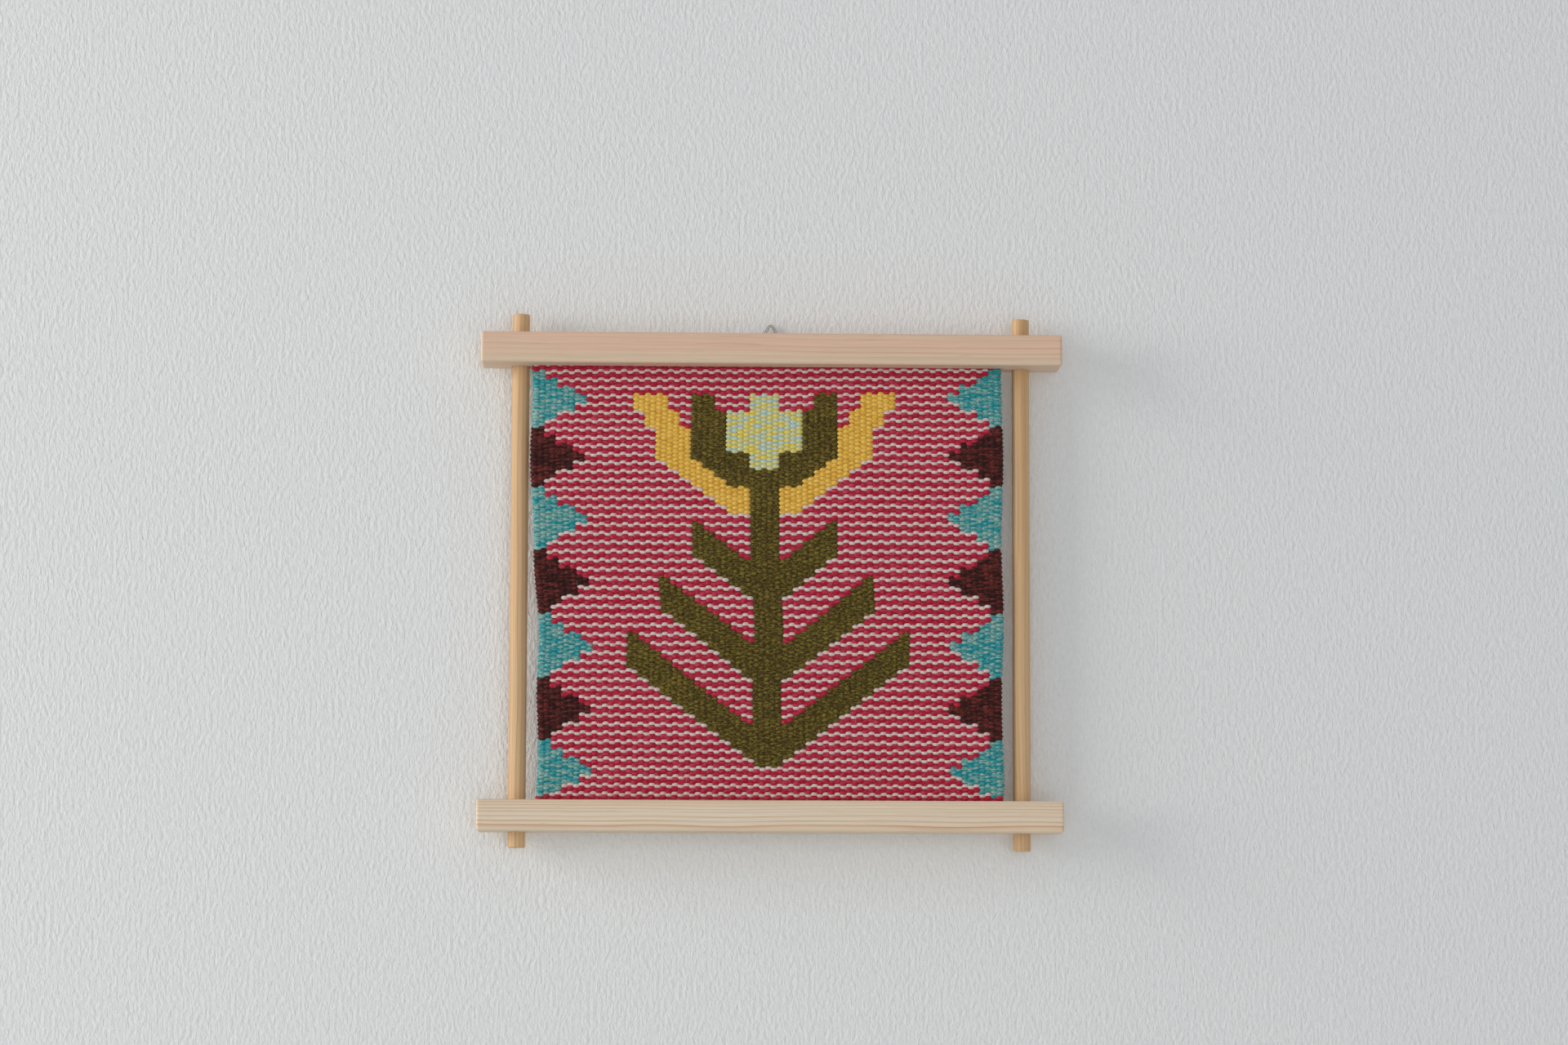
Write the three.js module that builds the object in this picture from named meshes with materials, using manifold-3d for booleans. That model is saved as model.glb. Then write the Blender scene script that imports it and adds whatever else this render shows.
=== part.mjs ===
// A small wall hanging: a hand-woven tapestry gripped in a wooden frame.
//
// Two rails, each a front strip and a back strip screwed together from behind, grip the two
// ends of the weaving in the seam between the strips. Two round dowels pass through holes in
// the back strips and hold the rails apart, and slide in them with a push. A triangular wire
// ring, held by a folded strap on the back of the top rail, hangs the frame on a nail.
//
// Millimetres. +Z is up, the front faces -Y, and the origin is where the nail meets the top of
// the ring's eye, midway through the wire.

import * as THREE from "three";
import { mergeVertices } from "three/addons/utils/BufferGeometryUtils.js";
import { RoundedBoxGeometry } from "three/addons/geometries/RoundedBoxGeometry.js";
import Module from "manifold-3d";

// ---- Driving dimensions ----

// Weaving
const CLOTH_WIDTH = 265;
const CLOTH_SHOWING = 247.4; // its height between the two rails
const CLOTH_THICKNESS = 2.8;
const CLOTH_SHIFT = -1; // the weaving sits a little left of the frame's middle
const HEM_IN_RAIL = 13.5; // how much of the weaving is gripped inside each rail

// Dowels
const DOWEL_RADIUS = 5;
const DOWEL_END_CHAMFER = 0.7;
const DOWEL_SHOWING = 21.4; // how much stands out past the two rails, both ends together
const LEFT_DOWEL_RISE = 12.5; // how far the left dowel stands above the top rail
const RIGHT_DOWEL_RISE = 11.5;
const SELVAGE_GAP = 5.3; // from the weaving's edge to the dowel's side, were it not shifted

// Rails
const RAIL_HEIGHT = 17.6;
const RAIL_OVERHANG = 22.2; // from a dowel's axis to the rail's end
const RAIL_EDGE_RADIUS = 1.5;
const FRONT_STRIP_DEPTH = 13;
const BORE_WALL = 2.05; // wood left before and behind each dowel hole in the back strip

// Hanger ring, an equilateral triangle of wire with round corners
const WIRE_RADIUS = 0.7;
const RING_HEIGHT = 12.6; // from the middle of the base wire to the middle of the apex wire
const RING_CORNER_RADIUS = 1.5; // to the middle of the wire
const RING_LEG_ANGLE = Math.PI / 6; // each leg's lean from upright
const RING_BUTT_GAP = 0.3; // where the two ends of the wire meet, inside the strap
const RING_BASE_BELOW_TOP = 3.8; // from the top rail's top face down to the base wire's middle

// Hanger strap
const STRAP_WIDTH = 9;
const STRAP_THICKNESS = 0.8;
const STRAP_LENGTH = 13; // from the middle of the ring's base wire to the strap's lower end
const STRAP_HOLE_RADIUS = 1.6;
const STRAP_CORNER_RADIUS = 2;

// Countersunk screws that join each back strip to its front strip
const RAIL_SCREW_BITE = 7; // how deep the point goes into the front strip
const RAIL_SCREW_RADIUS = 1.5;
const RAIL_SCREW_HEAD_RADIUS = 2.9;
const RAIL_SCREW_END_DISTANCE = 9; // from a rail's end to the outer screw
const RAIL_SCREW_INNER_SPACING = 100; // between the two inner screws, which pierce the hem

// Round-head screw that holds the strap
const HANGER_SCREW_LENGTH = 10;
const HANGER_SCREW_RADIUS = 1.2;
const HANGER_SCREW_HEAD_RADIUS = 2.6;
const HANGER_SCREW_HEAD_HEIGHT = 1.5;
const HANGER_SCREW_EDGE_HEIGHT = 0.6; // the straight side of the head, below its rounding
const HANGER_SCREW_CROWN_RADIUS = 1.8; // the flat on top of the head
const HANGER_SCREW_BELOW_RING = 7.6; // from the middle of the ring's base wire

// Every screw's point and cross recess
const POINT_TAPER = 2; // the point's length for each unit of shank radius
const RECESS_LENGTH = 3;
const RECESS_WIDTH = 0.7;
const RECESS_DEPTH = 0.9;

// Fits
const SEAT_GAP = 0.3; // between two pieces that rest on each other
const BORE_GAP = 0.3; // round a dowel, a screw or the ring's wire, on the radius
const HEM_BACK_GAP = 0.4; // behind the hem in its rebate
const HEM_SIDE_GAP = 0.6; // beside the hem in its rebate

// ---- Places worked out from them ----

const DOWEL_SPACING = CLOTH_WIDTH + 2 * (SELVAGE_GAP + DOWEL_RADIUS);
const RAIL_LENGTH = DOWEL_SPACING + 2 * RAIL_OVERHANG;
const RAIL_SPACING = CLOTH_SHOWING + RAIL_HEIGHT;
const DOWEL_LENGTH = RAIL_SPACING + RAIL_HEIGHT + DOWEL_SHOWING;
const BACK_STRIP_DEPTH = 2 * (DOWEL_RADIUS + BORE_GAP + BORE_WALL);
const RAIL_DEPTH = FRONT_STRIP_DEPTH + SEAT_GAP + BACK_STRIP_DEPTH;
const POCKET_DEPTH = CLOTH_THICKNESS + HEM_BACK_GAP;
const RAIL_SCREW_LENGTH = BACK_STRIP_DEPTH + SEAT_GAP + RAIL_SCREW_BITE;

const RING_APEX_Z = WIRE_RADIUS;
const RING_BASE_Z = RING_APEX_Z - RING_HEIGHT;
const TOP_RAIL_Z = RING_BASE_Z + RING_BASE_BELOW_TOP - RAIL_HEIGHT / 2;
const BOTTOM_RAIL_Z = TOP_RAIL_Z - RAIL_SPACING;

const STRAP_BEND_RADIUS = WIRE_RADIUS + BORE_GAP + STRAP_THICKNESS;
const STRAP_BACK_Y = 2 * STRAP_THICKNESS - STRAP_BEND_RADIUS;
const HANGER_SCREW_Z = RING_BASE_Z - HANGER_SCREW_BELOW_RING;
const RAIL_BACK_Y = -(STRAP_BEND_RADIUS + SEAT_GAP);
const RAIL_FRONT_Y = RAIL_BACK_Y - RAIL_DEPTH;
const SEAM_FRONT_Y = RAIL_FRONT_Y + FRONT_STRIP_DEPTH;
const SEAM_BACK_Y = RAIL_BACK_Y - BACK_STRIP_DEPTH;
const DOWEL_Y = (SEAM_BACK_Y + RAIL_BACK_Y) / 2;
const CLOTH_Y = SEAM_FRONT_Y + SEAT_GAP + CLOTH_THICKNESS / 2;

const SCREW_PLACES = [
  -(RAIL_LENGTH / 2 - RAIL_SCREW_END_DISTANCE),
  -RAIL_SCREW_INNER_SPACING / 2,
  RAIL_SCREW_INNER_SPACING / 2,
  RAIL_LENGTH / 2 - RAIL_SCREW_END_DISTANCE,
];

// How finely round shapes are cut into flats
const EDGE_STEPS = 3;
const DOWEL_SIDES = 32;
const SCREW_SIDES = 16;
const WIRE_SIDES = 8;
const WIRE_STEPS = 56;
const BEND_STEPS = 10;
const CORNER_STEPS = 6;

// Corners closer than this are one corner
const MERGE_DISTANCE = 1e-4;
// How far a cut runs on past the face it starts from, and the size of one that goes right through
const OVERRUN = 1;
const THROUGH = 10;

// ---- Finishes ----

const finish = (color, roughness, metalness = 0) =>
  new THREE.MeshStandardMaterial({ color, roughness, metalness });

const PALE_PINE = finish(0xd9b48f, 0.6);
const CREAM_PINE = finish(0xdcc39c, 0.6);
const DOWEL_BEECH = finish(0xc79b68, 0.55);
const CRIMSON_WOOL = finish(0xa31a32, 0.95);
const BRIGHT_STEEL = finish(0xc9c9c6, 0.3, 1);
const ZINC_PLATE = finish(0xb9b7ad, 0.4, 1);

// ---- Joining and cutting ----

const wasm = await Module();
wasm.setup();

// A closed geometry as a solid that can be cut. Triangles that merging has closed up are dropped.
function solid(geometry) {
  const bare = geometry.clone();
  bare.deleteAttribute("normal");
  bare.deleteAttribute("uv");
  const merged = mergeVertices(bare, MERGE_DISTANCE);
  const corners = merged.index.array;
  const kept = [];
  for (let i = 0; i < corners.length; i += 3) {
    const [a, b, c] = corners.slice(i, i + 3);
    if (a !== b && b !== c && c !== a) kept.push(a, b, c);
  }
  return new wasm.Manifold(new wasm.Mesh({
    numProp: 3,
    vertProperties: new Float32Array(merged.attributes.position.array),
    triVerts: new Uint32Array(kept),
  }));
}

// A solid back as a geometry with flat shading.
function geometryOf(body) {
  const mesh = body.getMesh();
  const geometry = new THREE.BufferGeometry();
  geometry.setAttribute("position", new THREE.BufferAttribute(mesh.vertProperties, 3));
  geometry.setIndex(new THREE.BufferAttribute(mesh.triVerts, 1));
  geometry.computeVertexNormals();
  return geometry;
}

// A block between two corners.
function block(low, high) {
  const size = new THREE.Vector3().subVectors(high, low);
  const middle = new THREE.Vector3().addVectors(low, high).multiplyScalar(0.5);
  const box = new THREE.BoxGeometry(size.x, size.y, size.z);
  return solid(box.translate(middle.x, middle.y, middle.z));
}

// A turned shape whose profile runs along +Y, as [radius, y] points.
function turned(profile, sides) {
  const points = profile.map(([radius, y]) => new THREE.Vector2(radius, y));
  return new THREE.LatheGeometry(points, sides);
}

function named(name, geometry, material) {
  const mesh = new THREE.Mesh(geometry, material);
  mesh.name = name;
  return mesh;
}

// ---- Screws, and the holes they need ----
// Both are turned about the Y axis with the head at +Y; y = 0 is the face the head bears on.

// Profile of a countersunk screw, grown all round by a clearance for its hole. Its head ends
// flush with the face, and the hole runs on past the face.
function countersunkProfile(clearance) {
  const shank = RAIL_SCREW_RADIUS + clearance;
  const head = RAIL_SCREW_HEAD_RADIUS + clearance;
  const neck = -(RAIL_SCREW_HEAD_RADIUS - RAIL_SCREW_RADIUS);
  const tip = -RAIL_SCREW_LENGTH - clearance;
  const point = tip + POINT_TAPER * RAIL_SCREW_RADIUS;
  const pastFace = clearance > 0 ? [[head, OVERRUN], [0, OVERRUN]] : [[0, 0]];
  return [[0, tip], [shank, point], [shank, neck], [head, 0], ...pastFace];
}

// Profile of a round-head screw. Its shank grows by the clearance for a hole.
function roundHeadProfile(clearance) {
  const shank = HANGER_SCREW_RADIUS + clearance;
  const tip = -HANGER_SCREW_LENGTH - clearance;
  const start = [[0, tip], [shank, tip + POINT_TAPER * HANGER_SCREW_RADIUS]];
  if (clearance > 0) return [...start, [shank, OVERRUN], [0, OVERRUN]];
  const crown = SEAT_GAP + HANGER_SCREW_HEAD_HEIGHT;
  return [
    ...start, [shank, SEAT_GAP], [HANGER_SCREW_HEAD_RADIUS, SEAT_GAP],
    [HANGER_SCREW_HEAD_RADIUS, SEAT_GAP + HANGER_SCREW_EDGE_HEIGHT],
    [HANGER_SCREW_CROWN_RADIUS, crown], [0, crown],
  ];
}

// Cuts the cross that the screwdriver fits into the head, whose top is at y = top.
function withRecess(screw, top) {
  const half = RECESS_LENGTH / 2;
  const thin = RECESS_WIDTH / 2;
  const floor = top - RECESS_DEPTH;
  const open = top + OVERRUN;
  const across = block(new THREE.Vector3(-half, floor, -thin), new THREE.Vector3(half, open, thin));
  const upright = block(new THREE.Vector3(-thin, floor, -half), new THREE.Vector3(thin, open, half));
  return solid(screw).subtract(across.add(upright));
}

function railScrewHole(x, z) {
  return solid(turned(countersunkProfile(BORE_GAP), SCREW_SIDES).translate(x, RAIL_BACK_Y, z));
}

function railScrew(name, x, z) {
  const body = withRecess(turned(countersunkProfile(0), SCREW_SIDES), 0);
  const mesh = named(name, geometryOf(body), ZINC_PLATE);
  mesh.position.set(x, RAIL_BACK_Y, z);
  return mesh;
}

// ---- Rails ----

// A whole rail with its outer edges eased, before it is parted into its two strips.
function railBlank(z) {
  const blank = new RoundedBoxGeometry(
    RAIL_LENGTH, RAIL_DEPTH, RAIL_HEIGHT, EDGE_STEPS, RAIL_EDGE_RADIUS);
  return solid(blank.translate(0, (RAIL_FRONT_Y + RAIL_BACK_Y) / 2, z));
}

// The stretch of a rail between two depths.
function railSlice(z, nearY, farY) {
  const half = new THREE.Vector3(RAIL_LENGTH, 0, RAIL_HEIGHT);
  const low = new THREE.Vector3(-half.x, nearY, z - half.z);
  const high = new THREE.Vector3(half.x, farY, z + half.z);
  return railBlank(z).intersect(block(low, high));
}

// The front strip takes the points of the screws.
function frontStrip(z) {
  let strip = railSlice(z, RAIL_FRONT_Y - OVERRUN, SEAM_FRONT_Y);
  for (const x of SCREW_PLACES) strip = strip.subtract(railScrewHole(x, z));
  return strip;
}

// The back strip has the dowel holes, the screw holes and the rebate that takes the hem.
// inward is -1 on the top rail, whose hem enters from below, and 1 on the bottom rail.
function backStrip(z, inward) {
  let strip = railSlice(z, SEAM_BACK_Y, RAIL_BACK_Y + OVERRUN);
  for (const x of SCREW_PLACES) strip = strip.subtract(railScrewHole(x, z));
  for (const x of [-DOWEL_SPACING / 2, DOWEL_SPACING / 2]) {
    const bore = new THREE.CylinderGeometry(
      DOWEL_RADIUS + BORE_GAP, DOWEL_RADIUS + BORE_GAP, RAIL_HEIGHT * 2, DOWEL_SIDES);
    strip = strip.subtract(solid(bore.rotateX(Math.PI / 2).translate(x, DOWEL_Y, z)));
  }
  const mouth = z + inward * (RAIL_HEIGHT / 2 + OVERRUN);
  const end = z + inward * (RAIL_HEIGHT / 2 - HEM_IN_RAIL - SEAT_GAP);
  const reach = CLOTH_WIDTH / 2 + HEM_SIDE_GAP;
  return strip.subtract(block(
    new THREE.Vector3(CLOTH_SHIFT - reach, SEAM_BACK_Y - OVERRUN, Math.min(mouth, end)),
    new THREE.Vector3(CLOTH_SHIFT + reach, SEAM_BACK_Y + POCKET_DEPTH, Math.max(mouth, end))));
}

function rail(name, z, inward, wood) {
  const group = new THREE.Group();
  group.add(named(`${name}_front`, geometryOf(frontStrip(z)), wood));
  let back = backStrip(z, inward);
  if (name === "top_rail") back = back.subtract(hangerScrewHole());
  group.add(named(`${name}_back`, geometryOf(back), wood));
  SCREW_PLACES.forEach((x, i) => group.add(railScrew(`${name}_screw_${i + 1}`, x, z)));
  return group;
}

// ---- Dowels ----

function dowel(name, side, rise, wood) {
  const top = TOP_RAIL_Z + RAIL_HEIGHT / 2 + rise;
  const flat = DOWEL_RADIUS - DOWEL_END_CHAMFER;
  const profile = [
    [0, 0], [flat, 0], [DOWEL_RADIUS, DOWEL_END_CHAMFER],
    [DOWEL_RADIUS, DOWEL_LENGTH - DOWEL_END_CHAMFER], [flat, DOWEL_LENGTH], [0, DOWEL_LENGTH],
  ];
  const mesh = named(name, turned(profile, DOWEL_SIDES).rotateX(Math.PI / 2), wood);
  mesh.position.set(side * DOWEL_SPACING / 2, DOWEL_Y, top - DOWEL_LENGTH);
  return mesh;
}

// ---- Weaving ----

// The weaving with its two gripped ends, pierced where the inner screws pass.
function tapestry() {
  const height = CLOTH_SHOWING + 2 * HEM_IN_RAIL;
  const middleZ = (TOP_RAIL_Z + BOTTOM_RAIL_Z) / 2;
  const slab = new THREE.BoxGeometry(CLOTH_WIDTH, CLOTH_THICKNESS, height);
  let cloth = solid(slab.translate(CLOTH_SHIFT, CLOTH_Y, middleZ));
  const inner = SCREW_PLACES.filter((x) => Math.abs(x) < CLOTH_WIDTH / 2);
  for (const z of [TOP_RAIL_Z, BOTTOM_RAIL_Z]) {
    for (const x of inner) cloth = cloth.subtract(railScrewHole(x, z));
  }
  return named("tapestry", geometryOf(cloth), CRIMSON_WOOL);
}

// ---- Hanger ----

// The middle line of the ring's wire, from one butt end round to the other.
function ringPath() {
  const lean = RING_LEG_ANGLE;
  const r = RING_CORNER_RADIUS;
  const apexCentre = RING_APEX_Z - r;
  const baseCentre = RING_BASE_Z + r;
  // The leg touches both corner arcs, so the base corner's centre lies this far out.
  const cornerX = (apexCentre - baseCentre) * Math.tan(lean);
  const onArc = (x, z, angle) =>
    new THREE.Vector3(x + r * Math.cos(angle), 0, z + r * Math.sin(angle));
  const arc = (x, z, from, to) => {
    const points = [];
    for (let i = 0; i <= BEND_STEPS; i += 1) {
      points.push(onArc(x, z, from + (to - from) * i / BEND_STEPS));
    }
    return points;
  };
  const points = [
    new THREE.Vector3(RING_BUTT_GAP / 2, 0, RING_BASE_Z),
    ...arc(cornerX, baseCentre, -Math.PI / 2, lean),
    ...arc(0, apexCentre, lean, Math.PI - lean),
    ...arc(-cornerX, baseCentre, Math.PI - lean, 1.5 * Math.PI),
    new THREE.Vector3(-RING_BUTT_GAP / 2, 0, RING_BASE_Z),
  ];
  const path = new THREE.CurvePath();
  for (let i = 1; i < points.length; i += 1) {
    path.add(new THREE.LineCurve3(points[i - 1], points[i]));
  }
  return path;
}

function hangerRing() {
  const section = new THREE.Shape().absarc(0, 0, WIRE_RADIUS, 0, 2 * Math.PI, false);
  const wire = new THREE.ExtrudeGeometry(section, {
    steps: WIRE_STEPS, curveSegments: WIRE_SIDES, extrudePath: ringPath(), bevelEnabled: false,
  });
  return named("hanger_ring", wire, BRIGHT_STEEL);
}

// A strip folded round the ring's base wire, its two layers lying together below the fold.
function hangerStrap() {
  const outer = STRAP_BEND_RADIUS;
  const lower = RING_BASE_Z - STRAP_LENGTH;
  const meets = -(Math.PI / 2 + Math.asin(-STRAP_BACK_Y / outer));
  // Drawn with the shape's x as the object's Y and the shape's y as its Z.
  const fold = new THREE.Shape();
  fold.moveTo(-outer, lower);
  fold.lineTo(-outer, RING_BASE_Z);
  fold.absarc(0, RING_BASE_Z, outer, Math.PI, meets, true);
  fold.lineTo(STRAP_BACK_Y, lower);
  fold.closePath();
  const eye = new THREE.Path().absarc(0, RING_BASE_Z, WIRE_RADIUS + BORE_GAP, 0, 2 * Math.PI, false);
  fold.holes.push(eye);
  const bent = new THREE.ExtrudeGeometry(fold, {
    depth: STRAP_WIDTH, curveSegments: SCREW_SIDES, bevelEnabled: false,
  });
  // The extrusion runs along X, centred, once x, y and z are turned to Y, Z and X.
  const turn = new THREE.Matrix4().set(0, 0, 1, -STRAP_WIDTH / 2, 1, 0, 0, 0, 0, 1, 0, 0, 0, 0, 0, 1);
  const hole = new THREE.CylinderGeometry(
    STRAP_HOLE_RADIUS, STRAP_HOLE_RADIUS, THROUGH, SCREW_SIDES);
  hole.translate(0, 0, HANGER_SCREW_Z);
  // The lower corners are rounded by keeping only what lies inside a round-cornered outline.
  const outline = new THREE.Shape();
  const half = STRAP_WIDTH / 2;
  const r = STRAP_CORNER_RADIUS;
  outline.moveTo(half, RING_BASE_Z + outer + OVERRUN);
  outline.lineTo(-half, RING_BASE_Z + outer + OVERRUN);
  outline.lineTo(-half, lower + r);
  outline.absarc(-half + r, lower + r, r, Math.PI, 1.5 * Math.PI, false);
  outline.absarc(half - r, lower + r, r, 1.5 * Math.PI, 2 * Math.PI, false);
  outline.closePath();
  const keep = new THREE.ExtrudeGeometry(outline, {
    depth: THROUGH, curveSegments: CORNER_STEPS, bevelEnabled: false,
  });
  keep.rotateX(Math.PI / 2).translate(0, THROUGH / 2, 0);
  const strap = solid(bent.applyMatrix4(turn)).intersect(solid(keep)).subtract(solid(hole));
  return named("hanger_strap", geometryOf(strap), BRIGHT_STEEL);
}

function hangerScrewHole() {
  const hole = turned(roundHeadProfile(BORE_GAP), SCREW_SIDES);
  return solid(hole.translate(0, STRAP_BACK_Y, HANGER_SCREW_Z));
}

function hangerScrew() {
  const crown = SEAT_GAP + HANGER_SCREW_HEAD_HEIGHT;
  const body = withRecess(turned(roundHeadProfile(0), SCREW_SIDES), crown);
  const mesh = named("hanger_screw", geometryOf(body), ZINC_PLATE);
  mesh.position.set(0, STRAP_BACK_Y, HANGER_SCREW_Z);
  return mesh;
}

// ---- The whole hanging ----

const hanging = new THREE.Group();
hanging.add(rail("top_rail", TOP_RAIL_Z, -1, PALE_PINE));
hanging.add(rail("bottom_rail", BOTTOM_RAIL_Z, 1, CREAM_PINE));
hanging.add(dowel("left_dowel", -1, LEFT_DOWEL_RISE, DOWEL_BEECH));
hanging.add(dowel("right_dowel", 1, RIGHT_DOWEL_RISE, DOWEL_BEECH));
hanging.add(tapestry());
hanging.add(hangerRing(), hangerStrap(), hangerScrew());

export default hanging;
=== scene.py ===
import math
import random

import bmesh
import bpy
from mathutils import Matrix, Vector, noise


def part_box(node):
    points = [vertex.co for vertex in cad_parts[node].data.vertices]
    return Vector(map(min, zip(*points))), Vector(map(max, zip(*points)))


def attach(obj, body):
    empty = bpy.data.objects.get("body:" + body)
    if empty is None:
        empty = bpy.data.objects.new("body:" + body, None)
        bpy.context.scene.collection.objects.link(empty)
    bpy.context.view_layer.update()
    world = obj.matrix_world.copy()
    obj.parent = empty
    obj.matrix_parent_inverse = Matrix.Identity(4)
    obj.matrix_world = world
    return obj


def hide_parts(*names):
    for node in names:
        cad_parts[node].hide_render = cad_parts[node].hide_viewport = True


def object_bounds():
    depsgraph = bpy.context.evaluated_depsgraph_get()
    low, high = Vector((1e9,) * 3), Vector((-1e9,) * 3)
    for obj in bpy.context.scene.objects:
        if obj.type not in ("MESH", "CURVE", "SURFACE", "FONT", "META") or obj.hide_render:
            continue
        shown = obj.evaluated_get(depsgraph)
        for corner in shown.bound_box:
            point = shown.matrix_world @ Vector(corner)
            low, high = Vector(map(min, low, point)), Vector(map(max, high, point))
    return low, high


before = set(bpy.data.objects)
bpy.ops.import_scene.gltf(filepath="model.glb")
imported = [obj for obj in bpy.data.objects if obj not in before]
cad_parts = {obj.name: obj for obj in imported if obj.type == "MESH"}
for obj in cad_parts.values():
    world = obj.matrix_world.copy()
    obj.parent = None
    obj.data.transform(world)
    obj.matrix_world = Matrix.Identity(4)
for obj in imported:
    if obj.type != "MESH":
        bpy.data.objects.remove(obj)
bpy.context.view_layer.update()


# ---- The rails ----
# Two rails of planed pine, each a front and a back strip screwed together round the weaving's
# hem. The strips are cut with their grain along the rail; the lower one is from a creamier board.

class Link:
    """A shader socket that adds, multiplies and so on by making the Math nodes it needs."""

    def __init__(self, tree, socket=None):
        self.tree = tree
        self.socket = socket

    def node(self, kind, settings, sockets, output=0):
        made = self.tree.nodes.new(kind)
        for name, value in settings.items():
            if name == "stops":
                set_stops(made.color_ramp, value)
            else:
                setattr(made, name, value)
        for key, value in sockets.items():
            if isinstance(value, Link):
                self.tree.links.new(value.socket, made.inputs[key])
            else:
                made.inputs[key].default_value = value
        return Link(self.tree, made.outputs[output])

    def math(self, operation, a, b):
        return self.node("ShaderNodeMath", {"operation": operation}, {0: a, 1: b})

    def mix(self, a, b):
        """The colour or value b where this is 1, and a where it is 0."""
        return self.node("ShaderNodeMix", {"data_type": "RGBA"}, {0: self, 6: a, 7: b}, output=2)

    def about_zero(self, by):
        """Noise, which lies around a half, moved to lie around zero and multiplied."""
        return (self - 0.5) * by

    def clamped(self):
        return self.node("ShaderNodeClamp", {}, {0: self})

    def __add__(self, other):
        return self.math("ADD", self, other)

    def __radd__(self, other):
        return self.math("ADD", other, self)

    def __sub__(self, other):
        return self.math("SUBTRACT", self, other)

    def __rsub__(self, other):
        return self.math("SUBTRACT", other, self)

    def __mul__(self, other):
        return self.math("MULTIPLY", self, other)

    def __rmul__(self, other):
        return self.math("MULTIPLY", other, self)


def set_stops(ramp, stops):
    """Gives a colour ramp its (place, grey) stops; it starts with two."""
    while len(ramp.elements) < len(stops):
        ramp.elements.new(1.0)
    for element, (place, grey) in zip(ramp.elements, stops):
        element.position = place
        element.color = (grey, grey, grey, 1)


def material(name, **constants):
    """A new material; constants set the shader's own sockets. Returns it, a Link and the shader."""
    made = bpy.data.materials.new(name)
    made.use_nodes = True
    shader = made.node_tree.nodes["Principled BSDF"]
    for socket, value in constants.items():
        shader.inputs[socket.replace("_", " ")].default_value = value
    return made, Link(made.node_tree), shader


def feed(link, shader, socket):
    link.tree.links.new(link.socket, shader.inputs[socket])


def feed_bump(height, shader, depth):
    """Bumps the shader by a height of 0 to 1, which stands for depth in metres."""
    feed(height.node("ShaderNodeBump", {}, {"Distance": depth, "Height": height}), shader, "Normal")


def object_place(link):
    """The place on the object, in metres, that the patterns are laid out by."""
    return link.node("ShaderNodeTexCoord", {}, {}, output=3)


def patches(place, **sockets):
    """Soft noise from 0 to 1, with one feature to a step of the place."""
    return place.node("ShaderNodeTexNoise", {}, {"Vector": place, "Scale": 1.0, **sockets})


def colour(red, green, blue):
    """A colour from 0 to 255 values, as a paint chart gives them, for a shader."""
    def linear(part):
        part /= 255
        return part / 12.92 if part <= 0.04045 else ((part + 0.055) / 1.055) ** 2.4
    return (linear(red), linear(green), linear(blue), 1)


# How dark a yearly ring is, from its start to its end: late wood is dense, and ends sharply
LATE_WOOD = [(0.0, 0.15), (0.12, 0.0), (0.62, 0.08), (0.84, 0.5), (0.95, 1.0)]
RING_WAVE = math.pi / 10  # the Wave texture's band spacing at a scale of 1, in metres
RINGS_WAVER = 0.006  # how far the rings wander along a board, in metres,
RINGS_UNEVEN = 1.3  # and how much their gaps differ, in gaps
RINGS_FADING = 2.4  # how much darker they are in some places along the board than in others
BAND_CONTRAST = 4.0  # how plain the bands of stain are
FIBRE_SHADE = 0.4  # how much the fibres change the colour
FIBRE_GLOSS = 0.2  # and the roughness,
FIBRE_RELIEF = 0.6  # and their share of the relief; the rings have the rest
RELIEF = 0.00006
PORE_RARITY = 0.66
PORE_CONTRAST = 9.0
PORE_SHADE = 0.3


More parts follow.
